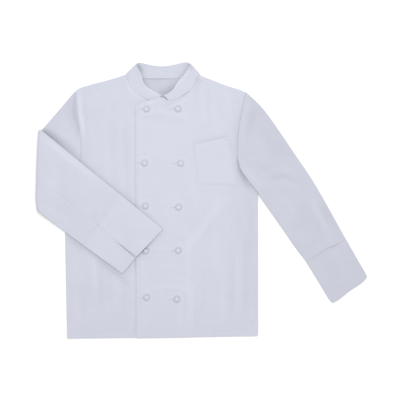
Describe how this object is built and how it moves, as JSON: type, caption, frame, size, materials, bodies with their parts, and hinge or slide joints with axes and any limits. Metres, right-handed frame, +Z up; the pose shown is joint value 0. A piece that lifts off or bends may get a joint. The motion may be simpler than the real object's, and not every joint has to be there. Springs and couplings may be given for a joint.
{
  "type": "chef jacket laid flat",
  "caption": "White double-breasted chef jacket with a stand collar, chest pocket and deep cuffs, laid flat with one forearm folded over the front.",
  "frame": {"origin": "middle of the laid-out jacket's outline, on the surface that it lies on", "axes": "+X across the jacket towards the wearer's left sleeve, +Y from the hem to the collar, +Z up from the surface"},
  "size_m": [0.9922, 0.826, 0.0214],
  "materials": {
    "body": "matt white twill",
    "sleeve": "matt white twill",
    "trim": "matt white twill, interlined",
    "button": "smooth"
  },
  "bodies": {
    "root": {"back": "body", "front_right": "body", "front_left": "body", "pocket": "body", "sleeve_left_under": "sleeve", "sleeve_left_top": "sleeve", "sleeve_right_under": "sleeve", "sleeve_right_top": "sleeve", "collar": "trim", "cuff_left": "trim", "cuff_right": "trim", "button_r1": "button", "button_r2": "button", "button_r3": "button", "button_r4": "button", "button_r5": "button", "button_l1": "button", "button_l2": "button", "button_l3": "button", "button_l4": "button", "button_l5": "button"}
  },
  "joints": []
}
